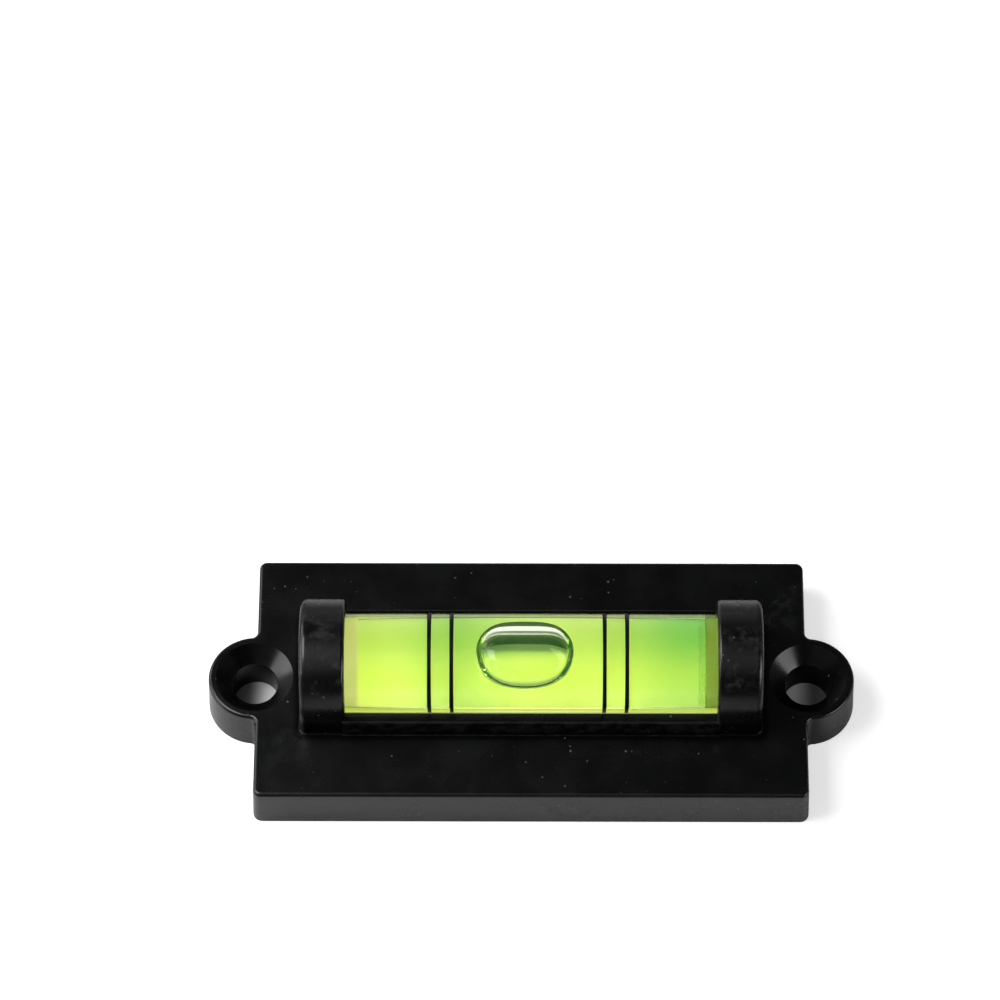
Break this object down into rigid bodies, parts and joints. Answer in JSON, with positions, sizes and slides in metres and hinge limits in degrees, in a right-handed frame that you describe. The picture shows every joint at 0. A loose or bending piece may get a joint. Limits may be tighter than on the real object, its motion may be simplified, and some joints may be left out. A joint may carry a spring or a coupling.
{
  "type": "mini spirit level",
  "caption": "Small bar level: a clear tubular vial with a bubble in coloured liquid, held under two arches on a black plate with a countersunk screw ear at each end and a foam pad in its back.",
  "frame": {"origin": "middle of the back face, which is the plane that lies on the wall or table", "axes": "+X along the vial, +Y across the plate, +Z out of the front, through the window"},
  "size_m": [0.0528, 0.022, 0.0118],
  "materials": {
    "housing_black": "satin",
    "vial_clear": "polished",
    "plug": "gloss",
    "cement": "gloss",
    "spirit": "polished",
    "bubble": "polished",
    "mark_ink": "satin",
    "foam": "matte",
    "adhesive": "satin",
    "liner_paper": "satin"
  },
  "bodies": {
    "root": {"housing": "housing_black", "vial_body": "vial_clear", "vial_plug": "plug", "plug_cement": "cement", "spirit": "spirit", "mark_outer_left": "mark_ink", "mark_inner_left": "mark_ink", "mark_inner_right": "mark_ink", "mark_outer_right": "mark_ink", "foam_pad": "foam", "front_adhesive": "adhesive", "back_adhesive": "adhesive", "release_liner": "liner_paper"},
    "bubble": {"bubble": "bubble"}
  },
  "joints": [
    {"name": "bubble_slide", "type": "slide", "parent": "root", "child": "bubble", "axis": [1, 0, 0], "range_m": [-0.0092, 0.0102], "stiffness_N_per_m": 0.0005, "deforming": ["spirit"]}
  ]
}
